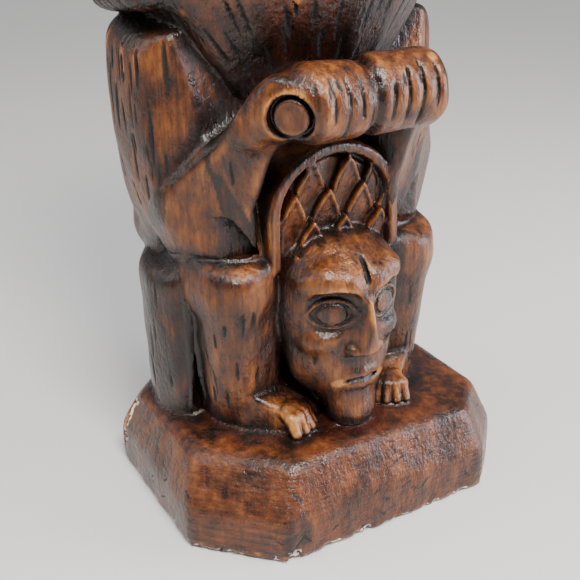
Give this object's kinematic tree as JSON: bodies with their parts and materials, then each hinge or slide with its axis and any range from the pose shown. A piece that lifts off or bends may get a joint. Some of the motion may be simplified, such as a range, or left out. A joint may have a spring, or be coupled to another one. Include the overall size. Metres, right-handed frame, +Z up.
{
  "type": "tiki figure",
  "caption": "Free-standing two-tier carved tiki figure: a bearded upper idol grips a rod above a crouched lower idol, on a cut-corner plinth.",
  "frame": {"origin": "on the floor, under the middle of the plinth", "axes": "+Z up, the figure looks along -Y, its own right side is -X"},
  "size_m": [0.136, 0.124, 0.378],
  "materials": {
    "plinth": "gloss",
    "carving": "gloss",
    "deep_carving": "gloss",
    "leaves": "gloss",
    "rod": "gloss"
  },
  "bodies": {
    "root": {"plinth": "plinth", "lower_trunk": "deep_carving", "lower_right_haunch": "carving", "lower_left_haunch": "carving", "lower_right_arm": "carving", "lower_left_arm": "carving", "lower_right_hand": "carving", "lower_left_hand": "carving", "lower_head": "carving", "lower_headdress": "deep_carving", "lower_headdress_leaves": "leaves", "upper_trunk": "deep_carving", "upper_right_haunch": "carving", "upper_left_haunch": "carving", "upper_right_arm": "carving", "upper_left_arm": "carving", "upper_right_forearm": "carving", "upper_left_forearm": "carving", "right_fist": "carving", "left_fist": "carving", "held_rod": "rod", "upper_beard": "deep_carving", "upper_head": "carving", "upper_right_hair": "deep_carving", "upper_left_hair": "deep_carving", "upper_back_hair": "deep_carving", "upper_headband": "plinth", "upper_crown": "deep_carving", "upper_crown_leaves": "leaves"}
  },
  "joints": []
}
